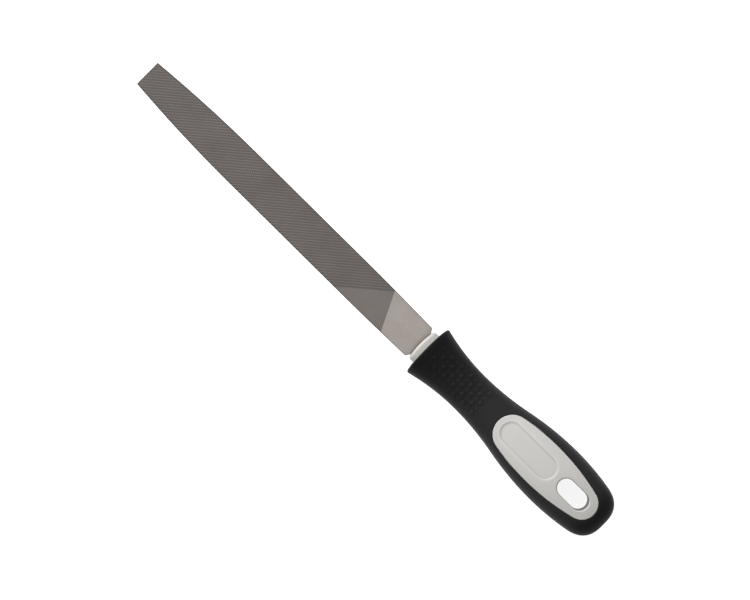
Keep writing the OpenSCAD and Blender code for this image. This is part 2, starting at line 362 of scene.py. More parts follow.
# %% Outline and thickness of the blade
BLADE_LENGTH = TIP_X - HEEL_X
HALF_BLADE = 8.0
HALF_THICK = (blade_high[2] - blade_low[2]) / 2
TIP_DRAW_IN, TIP_TAPER = 2.2, 53.0
HEEL_DRAW_IN, HEEL_TAPER = 0.5, 38.0
CHAMFER_LONG, CHAMFER_WIDE = 1.1, 2.0
HEEL_FLAT = 12.0
HEEL_ROUND, HEEL_ROUND_DROP = 2.2, 0.3
TIP_THINNING = 0.4


def arc_drop(reach, length, drop):
    """How far a circle has fallen from its tangent after reach, if it falls by drop over length."""
    radius = (length ** 2 + drop ** 2) / (2 * drop)
    return radius - np.sqrt(radius ** 2 - np.clip(reach, 0, length) ** 2)


def blade_half_width(x):
    """Half the blade's width: parallel, less an arc to the tip, an arc to the heel and a chamfer."""
    from_heel = x - HEEL_X
    tip = arc_drop(from_heel - (BLADE_LENGTH - TIP_TAPER), TIP_TAPER, TIP_DRAW_IN)
    heel = arc_drop(HEEL_TAPER - from_heel, HEEL_TAPER, HEEL_DRAW_IN)
    chamfer = CHAMFER_WIDE * (1 - np.clip(from_heel / CHAMFER_LONG, 0, 1))
    return HALF_BLADE - tip - heel - chamfer


def blade_half_thickness(x):
    """Half the blade's thickness: eased off at the heel's end, even, then falling straight to the tip."""
    share = (x - HEEL_X - HEEL_FLAT) / (BLADE_LENGTH - HEEL_FLAT)
    ease = np.clip(1 - (x - HEEL_X) / HEEL_ROUND, 0, 1) ** 2
    return HALF_THICK - TIP_THINNING * np.clip(share, 0, 1) - HEEL_ROUND_DROP * ease


heel_half = blade_half_width(HEEL_X)
print(f"half width {heel_half:.2f} at the heel's end, {blade_half_width(TIP_X):.2f} at the tip")

# %% [markdown]
# The heel doesn't meet the collar along a straight line. The collar is crowned, so the line between them
# bows a little, and both pieces take its shape from one function. The blade is drawn with a square end
# first, and the end is pulled back onto the collar when the blade is put together.

# %% Seat of the heel
HEEL_BOW = 0.44


def heel_bow(y):
    """How far the line between heel and collar falls back beside the axis: y squared, then even."""
    return HEEL_BOW * np.clip(np.abs(y) / heel_half, 0, 1) ** 2


def seated(points):
    """The heel's end drawn back onto the crowned collar; the shift fades out over the eased end."""
    fade = np.clip(1 - (points[:, 0] - HEEL_X) / HEEL_ROUND, 0, 1)
    return points - (fade * heel_bow(points[:, 1]))[:, None] * [1, 0, 0]


print(f"the heel's corners lie {heel_bow(heel_half):.2f} behind its middle")

# %% [markdown]
# A file's face is cut twice. A first set of shallow rows runs steeply across it. A second, deeper set
# leans the other way and breaks the first up into separate teeth. Near the heel the first set shows alone,
# and the last stretch is bare. Modelling each tooth as an object would be slow, so the whole face is one
# sheet whose two parameters count the rows of the two cuts. Three samples to each row are enough for a
# tooth: its crest, the root in front of it, and the top of its back. The height is that of the face, less
# two depths.

# %% Two sets of rows
FIRST_PITCH, FIRST_DEPTH = 0.74, 0.05
SECOND_PITCH, SECOND_DEPTH = 1.072, 0.105
FIRST_LEAN, SECOND_LEAN = math.radians(25.5), math.radians(-50.1)
FIRST_NORMAL = np.array([math.cos(FIRST_LEAN), math.sin(FIRST_LEAN)])
SECOND_NORMAL = np.array([math.cos(SECOND_LEAN), math.sin(SECOND_LEAN)])
FIRST_START = np.array([HEEL_X + 17.8, 0.0])
SECOND_START = np.array([HEEL_X + 29.9, 0.0])
ROW_SLACK = 1e-6
TOOTH_PLACE = np.array([0.0, 0.30, 0.90, 1.0])
TOOTH_DEPTH = np.array([0.0, 1.0, 0.0, 0.0])


def row_counts(x, y):
    """Rows of each cut counted from its first row: the distance across the rows divided by their pitch."""
    first = (x - FIRST_START[0]) * FIRST_NORMAL[0] + (y - FIRST_START[1]) * FIRST_NORMAL[1]
    second = (x - SECOND_START[0]) * SECOND_NORMAL[0] + (y - SECOND_START[1]) * SECOND_NORMAL[1]
    return first / FIRST_PITCH, second / SECOND_PITCH


def is_cut(count):
    """True from the first row on; the slack takes in the points that lie on it."""
    return count > -ROW_SLACK


def notch(count):
    """Depth of a row, 0 to 1, by where the count lies in it; rows before the first one aren't cut."""
    return np.interp(count % 1.0, TOOTH_PLACE, TOOTH_DEPTH) * is_cut(count)


def row_samples(low, high):
    """The counts at which a tooth's profile bends, for all rows between two counts."""
    rows = np.arange(math.floor(low), math.ceil(high) + 1)[:, None]
    return (rows + TOOTH_PLACE[None, :3]).ravel()


reach_x = np.array([HEEL_X, HEEL_X, TIP_X, TIP_X])
reach_y = np.array([-1, 1, -1, 1]) * HALF_BLADE
first_reach, second_reach = row_counts(reach_x, reach_y)
first_samples = row_samples(first_reach.min(), first_reach.max())
second_samples = row_samples(second_reach.min(), second_reach.max())
print(len(first_samples), "samples over the first cut,", len(second_samples), "over the second")

# %% [markdown]
# The sheet of rows is a slanting lattice that is larger than the blade, so it has to be trimmed. Faces with
# no point inside the outline are dropped, and a point that falls outside is moved onto the outline: square
# to a chamfer of the heel, straight across or along elsewhere. The points on the outline are marked, so
# that the walls can hang from them.

# %% The lattice, trimmed to the outline


def on_outline(x, y):
    """Points outside moved to the outline: square onto a chamfer beside it, else held within it."""
    along_chamfer = (x - HEEL_X) * CHAMFER_LONG + (np.abs(y) - heel_half) * CHAMFER_WIDE
    share = np.clip(along_chamfer / (CHAMFER_LONG ** 2 + CHAMFER_WIDE ** 2), 0, 1)
    beside = (x < HEEL_X + CHAMFER_LONG) & (np.abs(y) > heel_half)
    x = np.where(beside, HEEL_X + CHAMFER_LONG * share, np.clip(x, HEEL_X, TIP_X))
    limit = blade_half_width(x)
    return x, np.where(beside, np.sign(y) * limit, np.clip(y, -limit, limit))


def trimmed_lattice():
    """Places, faces and outline points: a grid of row counts solved for x and y, then trimmed."""
    first, second = np.meshgrid(first_samples, second_samples, indexing="ij")
    across = np.stack([first * FIRST_PITCH + FIRST_NORMAL @ FIRST_START,
                       second * SECOND_PITCH + SECOND_NORMAL @ SECOND_START], axis=-1)
    plan = across @ np.linalg.inv(np.stack([FIRST_NORMAL, SECOND_NORMAL])).T
    x, y = plan[..., 0].ravel(), plan[..., 1].ravel()
    limit = blade_half_width(np.clip(x, HEEL_X, TIP_X))
    inside = (x > HEEL_X) & (x < TIP_X) & (np.abs(y) < limit)
    faces = grid_faces(*first.shape)
    faces = faces[inside[faces].any(axis=1)]
    used, faces = np.unique(faces, return_inverse=True)
    x, y, within = x[used], y[used], inside[used]
    rim_x, rim_y = on_outline(x, y)
    return np.where(within, x, rim_x), np.where(within, y, rim_y), faces.reshape(-1, 4), ~within


face_x, face_y, face_quads, face_rim = trimmed_lattice()
print(len(face_quads), "faces on each cut face,", face_rim.sum(), "points on its outline")

# %% [markdown]
# Each point of the lattice now gets its height. The rows are cut deeper where they run out over the edge.
# A point also keeps which cuts it has, how deep in a notch it lies and how near the edge it is, so that
# the steel can be lighter on worn crests and painted darker in the roots and along the margin, as shade.

# %% The cut face
RUN_OUT, RUN_OUT_DEEPER = 0.9, 0.9
# Width of the painted shade along the margin of each face, in mm.
DARK_MARGIN = 0.5
SECOND_SHARE = 0.8


def cut_face(x, y):
    """Points of the upper face, its height less the depths of both cuts, and the marks of its points."""
    limit = blade_half_width(x)
    first_count, second_count = row_counts(x, y)
    run_out = 1 + RUN_OUT_DEEPER * np.clip(1 - (limit - np.abs(y)) / RUN_OUT, 0, 1)
    first_notch, second_notch = notch(first_count), notch(second_count)
    sunk = run_out * (FIRST_DEPTH * first_notch + SECOND_DEPTH * second_notch)
    z = AXIS_Z + blade_half_thickness(x) - sunk
    crossed = SECOND_SHARE * second_notch + (1 - SECOND_SHARE) * first_notch
    seen_notch = np.where(is_cut(second_count), crossed, first_notch)
    margin = np.minimum(limit - np.abs(y), np.minimum(x - HEEL_X, TIP_X - x))
    # The depth in a notch and the nearness of the margin say where shade is painted into the steel.
    marks = {"first_cut": is_cut(first_count), "second_cut": is_cut(second_count),
             "tooth_depth": seen_notch * run_out / (1 + RUN_OUT_DEEPER),
             "painted_edge_shade": np.clip(1 - margin / DARK_MARGIN, 0, 1)}
    return np.stack([x, y, z], axis=-1), marks


face_points, face_marks = cut_face(face_x, face_y)
half_turn = np.array([1, -1, -1])
lower_points = (face_points - [0, 0, AXIS_Z]) * half_turn + [0, 0, AXIS_Z]
print(f"teeth up to {face_points[:, 2].max():.2f}, down to {lower_points[:, 2].min():.2f}")

# %% [markdown]
# The narrow edges of the blade are cut too, with one set of short notches that lean along the blade. They
# are a closed ribbon of two rows round it. Its points are ordered by their angle round the blade's middle,
# taken on the plain outline, because the notches would upset that order. A few points across each end
# keep the triangles there short.

# %% Notched edges
EDGE_PITCH, EDGE_DEPTH, EDGE_LEAN = 1.1, 0.18, 0.35
EDGE_INSET = 0.5
HEEL_PLAIN, END_STEPS = 8.0, 8


def turn_angle(x, y):
    """Angle of each point round the middle of the blade, seen from above."""
    return np.arctan2(y, x - (TIP_X + HEEL_X) / 2)


def edge_ribbon(up):
    """A row of points round the blade, above (1) or below (-1) the axis, and their angles on the outline.

    The ends and the heel are plain. Then every other point is drawn in by a notch's depth."""
    across = np.linspace(0, 1, END_STEPS + 1)[1:]
    ends = np.repeat([HEEL_X, TIP_X], END_STEPS)
    plain = np.concatenate([ends, [HEEL_X + CHAMFER_LONG, HEEL_X + HEEL_PLAIN]])
    teeth = np.arange(FIRST_START[0], TIP_X - EDGE_PITCH, EDGE_PITCH / 2)
    none = np.zeros(len(plain))
    x = np.concatenate([plain, teeth])
    tall = blade_half_thickness(x) - EDGE_INSET
    reach = blade_half_width(x)
    reach[:2 * END_STEPS] *= np.tile(across, 2)
    notched = np.concatenate([none, EDGE_DEPTH * (np.arange(len(teeth)) % 2)])
    x = x + up * np.concatenate([none, np.full(len(teeth), EDGE_LEAN)])
    left = np.stack([x, reach - notched, AXIS_Z + up * tall], axis=-1)
    right = left * [1, -1, 1]
    angle = np.concatenate([turn_angle(x, reach), turn_angle(x, -reach)])
    order = np.argsort(angle)
    return np.concatenate([left, right])[order], angle[order]


upper_row, upper_angle = edge_ribbon(1)
lower_row, lower_angle = edge_ribbon(-1)
print(len(upper_row), "points in each row round the edges")

# %% [markdown]
# A face's outline and the ribbon beside it have different numbers of points, so the wall between them is
# zipped: both go round in order of their angle, and each step takes the point that comes next. The tang,
# which hides in the handle, is a plain tapering bar that is rooted in the heel.

# %% Walls and tang
TANG_ROOTED, TANG_LENGTH = 3.0, 45.0
TANG_ROOT, TANG_END = 4.0, 1.8
TANG_ROOT_THICK, TANG_END_THICK = 1.6, 1.2


def zipped(loop_a, angle_a, loop_b, angle_b):
    """Triangles between two closed loops: each edge of one goes to the last point passed on the other."""
    next_a, next_b = np.roll(loop_a, -1), np.roll(loop_b, -1)
    on_b = loop_b[np.searchsorted(angle_b, np.roll(angle_a, -1), side="left") - 1]
    on_a = loop_a[np.searchsorted(angle_a, np.roll(angle_b, -1), side="right") - 1]
    from_a = np.stack([loop_a, next_a, on_b], axis=-1)
    from_b = np.stack([next_b, loop_b, on_a], axis=-1)
    return np.concatenate([from_a, from_b])


def wall(points, row, row_angle):
    """A face's points and the ribbon row beside it, and the triangles between the two."""
    rim = np.flatnonzero(face_rim)
    rim_angle = turn_angle(points[rim, 0], points[rim, 1])
    order = np.argsort(rim_angle)
    row_numbers = np.arange(len(row)) + len(points)
    triangles = zipped(rim[order], rim_angle[order], row_numbers, row_angle)
    return np.concatenate([points, row]), triangles


def tang_bar():
    """A tapering bar of four-sided sections from inside the heel to the tang's end, closed by points."""
    x = HEEL_X + np.array([TANG_ROOTED, TANG_ROOTED, 0, -TANG_LENGTH, -TANG_LENGTH])
    wide = np.array([0, TANG_ROOT, TANG_ROOT, TANG_END, 0])
    thick = np.array([0, TANG_ROOT_THICK, TANG_ROOT_THICK, TANG_END_THICK, 0])
    y = wide[:, None] * np.array([1, -1, -1, 1])
    z = AXIS_Z + thick[:, None] * np.array([1, 1, -1, -1])
    points = np.stack([np.broadcast_to(x[:, None], y.shape), y, z], axis=-1)
    return points.reshape(-1, 3), grid_faces(*y.shape, around=True)


tang_points, tang_faces = tang_bar()
print(f"tang ends at {tang_points[:, 0].min():.2f}")

# %% [markdown]
# The sheets are put together into one closed blade. The lower face is the upper one turned over about the
# tool's axis, so it has the same marks. The edges count as cut from where their notches start.

# %% Blade
TOOTH_SHARP = 1

ribbon = np.concatenate([upper_row, lower_row])
blade_skin = [
    (face_points, face_quads),
    (lower_points, face_quads),
    wall(face_points, upper_row, upper_angle),
    wall(lower_points, lower_row, lower_angle),
    (ribbon, grid_faces(2, len(upper_row), around=True)),
]
blade_sheets = [(seated(points), faces) for points, faces in blade_skin] + [(tang_points, tang_faces)]


def blade_mark(label):
    """A mark of the face's points, carried to the points of every sheet in the order of the sheets."""
    face = face_marks[label]
    row = (upper_row[:, 0] > FIRST_START[0] - EDGE_PITCH) * (label == "first_cut")
    return np.concatenate([face, face, face, row, face, row, row, row, np.zeros(len(tang_points))])


blade_marks = {label: blade_mark(label) for label in face_marks}
blade = make_piece("blade", blade_sheets, "file_blade", TOOTH_SHARP, blade_marks)

# %% [markdown]
# ## The handle
# The handle is a loft: at each distance behind its front it has a rounded-square section, a superellipse.
# Its width flares at the front, narrows at the waist, swells for the palm and rounds off at the butt. These
# few functions give the section anywhere, and the grip and the panel both use them.

# %% Sections of the handle
WAIST_PLACE = 24.0
SWELL_TO_BUTT = 27.5
SWELL_PLACE = GRIP_LENGTH - SWELL_TO_BUTT
BUTT_ROUND = 9.5
BUTT_PLACE = GRIP_LENGTH - BUTT_ROUND
BUTT_DRAW_IN = 1.55
TURN_SHARE = 0.48
WAIST_SQUARE, SWELL_SQUARE, BUTT_SQUARE = 2.3, 2.8, 2.9
HALF_WIDTHS = (12.05, 8.7, 13.25)
HALF_THICKNESSES = (9.5, 7.5, 10.5)
TINY = 1e-9


def two_arcs(u):
    """Rise from 0 to 1 along two parabolas that meet with one slope at the turn."""
    return np.where(u < TURN_SHARE, u * u / TURN_SHARE, 1 - (1 - u) ** 2 / (1 - TURN_SHARE))


def along(d, front, waist, swell):
    """A size of the handle: parabola from front to waist, two arcs to the swell, parabola to the butt."""
    flare = waist + (front - waist) * (1 - d / WAIST_PLACE) ** 2
    rise = waist + (swell - waist) * two_arcs((d - WAIST_PLACE) / (SWELL_PLACE - WAIST_PLACE))
    fall = swell - BUTT_DRAW_IN * ((d - SWELL_PLACE) / (BUTT_PLACE - SWELL_PLACE)) ** 2
    return np.where(d < WAIST_PLACE, flare, np.where(d < SWELL_PLACE, rise, fall))


def section(d, inset=0.0):
    """Half width, half thickness and squareness of the section d mm behind the front, set in by a wall."""
    part = np.clip((d - BUTT_PLACE) / (BUTT_ROUND - inset), 0, 1)
    keep = (1 - part ** BUTT_SQUARE) ** (1 / BUTT_SQUARE)
    ease = two_arcs(np.clip((d - WAIST_PLACE) / (SWELL_PLACE - WAIST_PLACE), 0, 1))
    square = WAIST_SQUARE + (SWELL_SQUARE - WAIST_SQUARE) * ease
    wide, thick = along(d, *HALF_WIDTHS) - inset, along(d, *HALF_THICKNESSES) - inset
    return keep * wide, keep * thick, square


def rise_at(d, y, inset=0.0):
    """Height of the handle's surface over its axis at a place in plan: the superellipse solved for z."""
    wide, thick, square = section(d, inset)
    share = np.clip(np.abs(y) / np.maximum(wide, TINY), 0, 1)
    return thick * (1 - share ** square) ** (1 / square)


print("waist", section(WAIST_PLACE)[0], "swell", section(SWELL_PLACE)[0])

# %% [markdown]
# The panel shows through an egg-shaped window in the grip. Its outline is two long arcs, closed by a small
# arc at each end that touches both. Moved outwards by an even distance it stays four arcs, so one function
# gives the panel's edge, the window's edge and every line between them.

# %% Outline of the panel
SIDE_RADIUS, PANEL_HALF = 96.0, 9.25
FRONT_REACH, REAR_REACH = 16.0, 22.0
PANEL_TO_BUTT = 5.8
PANEL_END = GRIP_LENGTH - PANEL_TO_BUTT
SIDE_CENTRE = SIDE_RADIUS - PANEL_HALF
FRONT_ARC = SIDE_RADIUS - math.hypot(FRONT_REACH, SIDE_CENTRE)
REAR_ARC = SIDE_RADIUS - math.hypot(REAR_REACH, SIDE_CENTRE)
REAR_CENTRE = PANEL_END - REAR_ARC
PANEL_MIDDLE = REAR_CENTRE - REAR_REACH
FRONT_CENTRE = PANEL_MIDDLE - FRONT_REACH
PANEL_START = FRONT_CENTRE - FRONT_ARC


def egg_side(grow, count):
    """One side of the egg from front to rear: places (d, y), and the outward direction at each."""
    start, end = PANEL_START - grow, REAR_CENTRE + REAR_ARC + grow
    d = start + (end - start) * (1 - np.cos(np.linspace(0, np.pi, count))) / 2
    side = SIDE_RADIUS + grow
    front_touch = PANEL_MIDDLE - side * FRONT_REACH / math.hypot(FRONT_REACH, SIDE_CENTRE)
    rear_touch = PANEL_MIDDLE + side * REAR_REACH / math.hypot(REAR_REACH, SIDE_CENTRE)
    pick = [d < front_touch, d > rear_touch]
    centre = np.select(pick, [FRONT_CENTRE, REAR_CENTRE], PANEL_MIDDLE)
    radius = np.select(pick, [FRONT_ARC + grow, REAR_ARC + grow], side)
    below = np.select(pick, [0.0, 0.0], SIDE_CENTRE)
    y = np.sqrt(np.maximum(radius ** 2 - (d - centre) ** 2, 0)) - below
    outward = np.stack([d - centre, y + below], axis=-1) / radius[:, None]
    return np.stack([d, y], axis=-1), outward


def all_round(side):
    """Both sides as one loop: there along one side, back along its mirror image."""
    return np.concatenate([side, (side * [1, -1])[-2:0:-1]])


print(f"panel from {PANEL_START:.2f} to {PANEL_END:.2f} mm behind the grip's front")

# %% [markdown]
# ## The grip
# The soft grip is one skin of many sections. It starts in the hole round the collar, comes out over the
# front face and its rounded rim, and runs to the butt. The front face is crowned: it falls back towards
# the sides. Sections stand closer where the shape turns faster, so the rim and the butt stay round.

# %% Sections of the grip
BOND_GAP = 0.04
LIP = 0.5
FRONT_RIM, FRONT_CROWN = 0.8, 0.9
RIM_PLACE = FRONT_CROWN + FRONT_RIM
COLLAR_HALF = (7.2, 5.5)
COLLAR_SQUARE = 3.2
HOLE_DEPTH = 2.2
FACE_ROWS, RIM_ROWS, NECK_ROWS, TAIL_ROWS = 6, 9, 120, 26
TAIL_CROWDING = 1.6
WINDOW_COUNT = 121


def grip_stations():
    """Distance, half width, half thickness, squareness and share of the crown, for each section."""
    hole = np.array(COLLAR_HALF) + BOND_GAP
    rim_turn = np.linspace(0, np.pi / 2, RIM_ROWS)
    shrink = FRONT_RIM * (1 - np.sin(rim_turn))
    rim_wide, rim_thick, rim_square = section(RIM_PLACE)
    rim = np.stack([FRONT_RIM * (1 - np.cos(rim_turn)), rim_wide - shrink, rim_thick - shrink,
                    np.full(RIM_ROWS, rim_square)], axis=-1)
    bottom = np.array([[HOLE_DEPTH, 0, 0, COLLAR_SQUARE], [HOLE_DEPTH, *hole, COLLAR_SQUARE]])
    mouth = np.array([0, *hole, COLLAR_SQUARE])
    face = mouth + np.linspace(0, 1, FACE_ROWS)[:-1, None] * (rim[0] - mouth)
    window = egg_side(BOND_GAP + LIP, WINDOW_COUNT)[0][:, 0]
    neck = np.linspace(RIM_PLACE, window[0], NECK_ROWS)[1:-1]
    swing = np.cos(np.linspace(0, np.pi / 2, TAIL_ROWS))[1:] ** TAIL_CROWDING
    tail = GRIP_LENGTH - (GRIP_LENGTH - window[-1]) * swing
    body = np.concatenate([neck, window, tail])
    rows = np.concatenate([bottom, face, rim, np.stack([body, *section(body)], axis=-1)])
    crowned = np.repeat([0, 1, 0], [len(bottom), len(face) + len(rim), len(body)])
    return np.column_stack([rows, crowned])


stations = grip_stations()
print(len(stations), "sections from the hole to the butt")

# %% [markdown]
# Small pips are moulded into the neck to give the thumb hold, each in a shallow moat. A displacement map
# could draw them, but they are few and show in outline, so they are part of the shape: the height of the
# nearest pip is added to the skin. The pattern fades out towards the edges of its field.

# %% Pips of the grip
PIP_PITCH, PIP_RADIUS, PIP_HEIGHT = 5.0, 1.1, 0.3
MOAT_PLACE, MOAT_HALF, MOAT_DEPTH = 1.35, 0.45, 0.12
FIELD_FRONT, FIELD_REAR, FIELD_SIDE = (2.5, 4.5), (33.0, 30.0), (6.5, 5.0)


def ramp(value, none, full):
    """Share of the way from where there is none to where it is full, held between 0 and 1."""
    return np.clip((value - none) / (full - none), 0, 1)


def pips(d, y):
    """Nearest pip of a staggered pattern, a rounded bump, and the moat round it, a ring."""
    row, column = d / PIP_PITCH, y / PIP_PITCH
    corner = np.hypot(row - np.round(row), column - np.round(column))
    middle = np.hypot(row - np.floor(row) - 0.5, column - np.floor(column) - 0.5)
    near = np.minimum(corner, middle) * PIP_PITCH
    bump = np.clip(1 - (near / PIP_RADIUS) ** 2, 0, 1) ** 2
    moat = np.clip(1 - np.abs(near - MOAT_PLACE) / MOAT_HALF, 0, 1)
    fade = ramp(d, *FIELD_FRONT) * ramp(d, *FIELD_REAR) * ramp(np.abs(y), *FIELD_SIDE)
    return fade * bump, fade * moat


print(f"pips stand {PIP_PITCH / math.sqrt(2):.2f} apart")

# %% [markdown]
# The skin is made as a right half, which is mirrored. The halves meet along the middle of the top and the
# bottom, and part there round the window. Along the side runs the fine line where the mould was closed.

# %% Half of the grip
ROUND_COUNT = 105
SIDE_CROWDING = 1.3
CROWN_POWER = 2.5
PIPS_ABOVE = 3
PARTING_DEPTH, PARTING_HALF, PARTING_FROM = 0.06, 0.3, 8.0


def grip_half(stations):
    """Right half of the skin: the section's angle runs from the window's upper edge to its lower edge."""
    d, wide, thick, square, crowned = (stations[:, i, None] for i in range(5))
    window = egg_side(BOND_GAP + LIP, WINDOW_COUNT)[0]
    edge = np.interp(d, window[:, 0], window[:, 1], left=0, right=0)
    limit = np.arccos(np.clip(edge / np.maximum(wide, TINY), 0, 1) ** (square / 2))
    step = np.linspace(1, -1, ROUND_COUNT)[None, :]
    angle = limit * np.sign(step) * np.abs(step) ** SIDE_CROWDING
    y = wide * np.abs(np.cos(angle)) ** (2 / square)
    z = thick * np.sign(angle) * np.abs(np.sin(angle)) ** (2 / square)
    bump, moat = np.array(pips(d, y)) * (np.abs(z) > PIPS_ABOVE)
    z = z + np.sign(z) * (PIP_HEIGHT * bump - MOAT_DEPTH * moat)
    parted = (d > RIM_PLACE) & (wide > PARTING_FROM)
    y = y - PARTING_DEPTH * np.clip(1 - np.abs(z) / PARTING_HALF, 0, 1) * parted
    fallen_back = FRONT_CROWN * (y / section(RIM_PLACE)[0]) ** CROWN_POWER
    return np.stack([GRIP_X - d - crowned * fallen_back, y, AXIS_Z + z], axis=-1), moat


right_half, right_moat = grip_half(stations)
half_faces = grid_faces(len(stations), ROUND_COUNT)
print(len(half_faces), "faces on each half of the grip")

# %% [markdown]
# Round the window the grip ends in a soft rounded lip and a wall down to the core. The lip is a quarter
# circle carried along the egg outline, and it follows the height of the grip's own surface, so it meets
# the skin exactly. The wall runs through to the lip of the lower window.

# %% Lips of the window, and the grip
LIP_STEPS = 7
MOULD_SHARP = 40


def window_lip(side_up):
    """Rows of a quarter circle from the skin down into the window, along the egg outline."""
    side, outward = egg_side(BOND_GAP + LIP, WINDOW_COUNT)
    loop, out = all_round(side), all_round(outward)
    turn = np.linspace(0, np.pi / 2, LIP_STEPS)[:, None]
    d = loop[:, 0] - LIP * np.sin(turn) * out[:, 0]
    y = loop[:, 1] - LIP * np.sin(turn) * out[:, 1]
    z = rise_at(d, y) - LIP * (1 - np.cos(turn))
    return np.stack([GRIP_X - d, y, AXIS_Z + side_up * z], axis=-1)


upper_lip, lower_lip = window_lip(1), window_lip(-1)
window_sheet = np.concatenate([upper_lip, lower_lip[::-1]])
left_half = right_half * [1, -1, 1]
grip_sheets = [
    (right_half.reshape(-1, 3), half_faces),
    (left_half.reshape(-1, 3), half_faces),
    (window_sheet.reshape(-1, 3), grid_faces(*window_sheet.shape[:2], around=True)),
]
moats = np.concatenate([right_moat.ravel(), right_moat.ravel(), np.zeros(window_sheet[..., 0].size)])
grip = make_piece("grip", grip_sheets, "grip_sleeve", MOULD_SHARP, {"moat": moats})

# %% [markdown]
# ## The core
# The panel of the hard core has two features. The hang slot is an obround: straight sides closed by half
# circles. A long field, an obround too, is sunk for a label, which stays bare here. Its edge is painted
# with
# two lines of light: painted shade at the root of the step and a painted highlight along its brow.

# %% Slot and label field
SLOT_TO_PANEL_END = 4.1
SLOT_REACH, SLOT_RADIUS = 3.6, 3.7
SLOT_MIDDLE = PANEL_END - SLOT_TO_PANEL_END - SLOT_REACH - SLOT_RADIUS
LABEL_FROM_START = 2.8
LABEL_REACH, LABEL_RADIUS = 9.2, 4.6
LABEL_MIDDLE = PANEL_START + LABEL_FROM_START + LABEL_REACH + LABEL_RADIUS
LABEL_DEPTH, LABEL_SOFT = 0.3, 1.0
# Places of the painted shade at the step's root and of the painted highlight on its brow, from the edge.
LABEL_ROOT, LABEL_BROW, LINE_HALF = -0.3, 0.6, 0.5


def obround_ray(angle, reach, radius):
    """Distance from an obround's middle to its edge in a direction: the flat side, or the end circle."""
    cosine, sine = np.abs(np.cos(angle)), np.maximum(np.abs(np.sin(angle)), TINY)
    flat = radius / sine
    end = reach * cosine + np.sqrt(np.maximum(radius ** 2 - (reach * sine) ** 2, 0))
    return np.where(flat * cosine <= reach, flat, end)


def label_away(d, y):
    """Distance outside the label field's obround edge; it is negative inside."""
    return np.hypot(np.maximum(np.abs(d - LABEL_MIDDLE) - LABEL_REACH, 0), y) - LABEL_RADIUS


def label_sink(away):
    """Depth of the label field: a soft step across its edge."""
    step = np.clip(0.5 - away / LABEL_SOFT, 0, 1)
    return LABEL_DEPTH * step * step * (3 - 2 * step)


def line_at(away, place):
    """A soft line, 0 to 1, that runs along the label's edge at a distance from it."""
    return np.clip(1 - np.abs(away - place) / LINE_HALF, 0, 1)


print(f"slot's middle {SLOT_MIDDLE:.2f}, label's middle {LABEL_MIDDLE:.2f} behind the grip's front")

# %% [markdown]
# The panel lies a little below the grip, and its edge is rolled over into the groove between them. The skin
# is one closed sheet: round the egg in one direction, and in the other from the outer wall over the edge,
# across the panel along rays from the slot's middle, over the slot's soft rim, down through the slot and
# back along the lower side. The slot's wall is painted darker, as shade, and the rolled edge lighter, as a
# painted highlight.

# %% Panel of the core
PANEL_RECESS = 0.32
EDGE_ROLL, EDGE_BROW = 0.3, 0.8
SLOT_RIM = 0.7
SHADE_SHARPNESS = 12
RAY_STEPS, ROLL_STEPS, RIM_STEPS = 140, 6, 8
PANEL_COUNT = 131


def panel_half():
    """Places (d, y), heights and marks of the upper half: rolled edge, rays across, rim of the slot."""
    outer, outward = (all_round(part) for part in egg_side(0, PANEL_COUNT))
    turn = np.linspace(np.pi / 2, 0, ROLL_STEPS)[:, None, None]
    edge = outer - EDGE_ROLL * (1 - np.sin(turn)) * outward
    edge_drop = EDGE_ROLL * (1 - np.cos(turn[..., 0]))
    inner = edge[-1]
    ray = np.arctan2(inner[:, 1], inner[:, 0] - SLOT_MIDDLE)
    direction = np.stack([np.cos(ray), np.sin(ray)], axis=-1)
    slot_far = obround_ray(ray, SLOT_REACH, SLOT_RADIUS + SLOT_RIM)[:, None]
    slot_near = obround_ray(ray, SLOT_REACH, SLOT_RADIUS)[:, None]
    slot_edge = [SLOT_MIDDLE, 0] + slot_far * direction
    share = np.linspace(0, 1, RAY_STEPS)[1:, None, None]
    across = inner + share * (slot_edge - inner)
    rim_turn = np.linspace(0, np.pi / 2, RIM_STEPS)[1:, None, None]
    rim = slot_edge - (slot_far - slot_near) * np.sin(rim_turn) * direction
    rim_drop = SLOT_RIM * (1 - np.cos(rim_turn[..., 0]))
    on_edge, on_panel, on_rim = (np.zeros(rows.shape[:2]) for rows in (edge, across, rim))
    plan = np.concatenate([edge, across, rim])
    away = label_away(plan[..., 0], plan[..., 1])
    drop = np.concatenate([on_edge + edge_drop, on_panel, on_rim + rim_drop])
    height = rise_at(plan[..., 0], plan[..., 1], PANEL_RECESS) - drop - label_sink(away)
    # Painted shade on the slot's wall, darker the further the rim turns down into the slot.
    rim_shade = np.sin(rim_turn[..., 0]) ** SHADE_SHARPNESS
    from_edge = share[..., 0] * np.linalg.norm(slot_edge - inner, axis=-1)
    # Painted highlight along the panel's rolled edge and the label's brow; painted shade along the label's
    # root.
    edge_brow = np.concatenate([on_edge + 1, np.clip(1 - from_edge / EDGE_BROW, 0, 1), on_rim])
    return plan, height, {"painted_shade": np.concatenate([on_edge, on_panel, on_rim + rim_shade]),
                          "painted_root_shade": line_at(away, LABEL_ROOT),
                          "painted_highlight": np.maximum(edge_brow, line_at(away, LABEL_BROW))}


plan, height, half_marks = panel_half()
upper = np.stack([GRIP_X - plan[..., 0], plan[..., 1], AXIS_Z + height], axis=-1)
lower = np.stack([GRIP_X - plan[..., 0], plan[..., 1], AXIS_Z - height], axis=-1)
panel_rows = np.concatenate([upper, lower[::-1], upper[:1]])
panel_sheet = (panel_rows.reshape(-1, 3), grid_faces(*panel_rows.shape[:2], around=True))
panel_marks = {label: np.concatenate([mark, mark[::-1], mark[:1]]).ravel()
               for label, mark in half_marks.items()}
panel = make_piece("panel", [panel_sheet], "handle_core", MOULD_SHARP, panel_marks)

